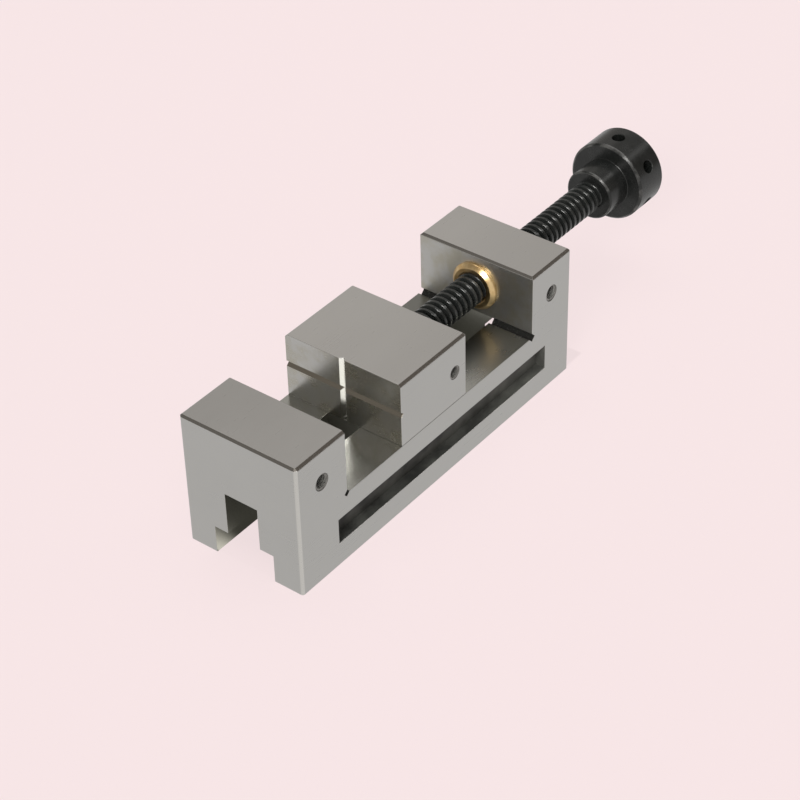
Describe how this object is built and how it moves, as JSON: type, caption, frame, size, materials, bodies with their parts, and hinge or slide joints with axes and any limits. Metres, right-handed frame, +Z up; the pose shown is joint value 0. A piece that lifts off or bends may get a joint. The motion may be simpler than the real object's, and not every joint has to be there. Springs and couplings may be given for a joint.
{
  "type": "precision grinding vise",
  "caption": "Ground steel block vise with a fixed jaw, a sliding jaw with vee grooves, a black trapezoidal screw in a flanged brass nut, side clamp grooves and a knob with bar holes.",
  "frame": {"origin": "on the supporting surface, under the middle of the whole length with the jaws 29.7 mm apart", "axes": "+X along the screw from the fixed jaw to the knob, +Y to the operator's right as seen from the knob, +Z up"},
  "size_m": [0.232, 0.05, 0.057],
  "materials": {
    "ground_steel": "fine ground",
    "nut_brass": "turned, polished",
    "black_oxide": "black oxide with oil",
    "screw_steel": "black oxide",
    "washer_steel": "hardened, bright"
  },
  "bodies": {
    "vise": {"vise_body": "ground_steel", "screw_nut": "nut_brass", "nut_lock_screw_left": "screw_steel", "nut_lock_screw_right": "screw_steel"},
    "jaw": {"movable_jaw": "ground_steel", "keeper_plate": "ground_steel", "keeper_screw_front": "screw_steel", "keeper_screw_rear": "screw_steel", "keeper_washer_front": "washer_steel", "keeper_washer_rear": "washer_steel", "thrust_pad": "washer_steel", "retaining_screw_left": "screw_steel", "retaining_screw_right": "screw_steel"},
    "spindle": {"lead_screw": "black_oxide", "knob": "black_oxide", "knob_set_screw": "screw_steel"}
  },
  "joints": [
    {"name": "jaw_slide", "type": "slide", "parent": "vise", "child": "jaw", "axis": [1, 0, 0], "range_m": [-0.0297, 0.037]},
    {"name": "screw_turn", "type": "hinge", "parent": "jaw", "child": "spindle", "pos_m": [0.0321, 0, 0.041], "axis": [1, 0, 0], "range_deg": [-3564, 4440]}
  ],
  "couplings": [
    {"joint": "screw_turn", "follows": "jaw_slide", "rad_per_m": 2094.4}
  ]
}
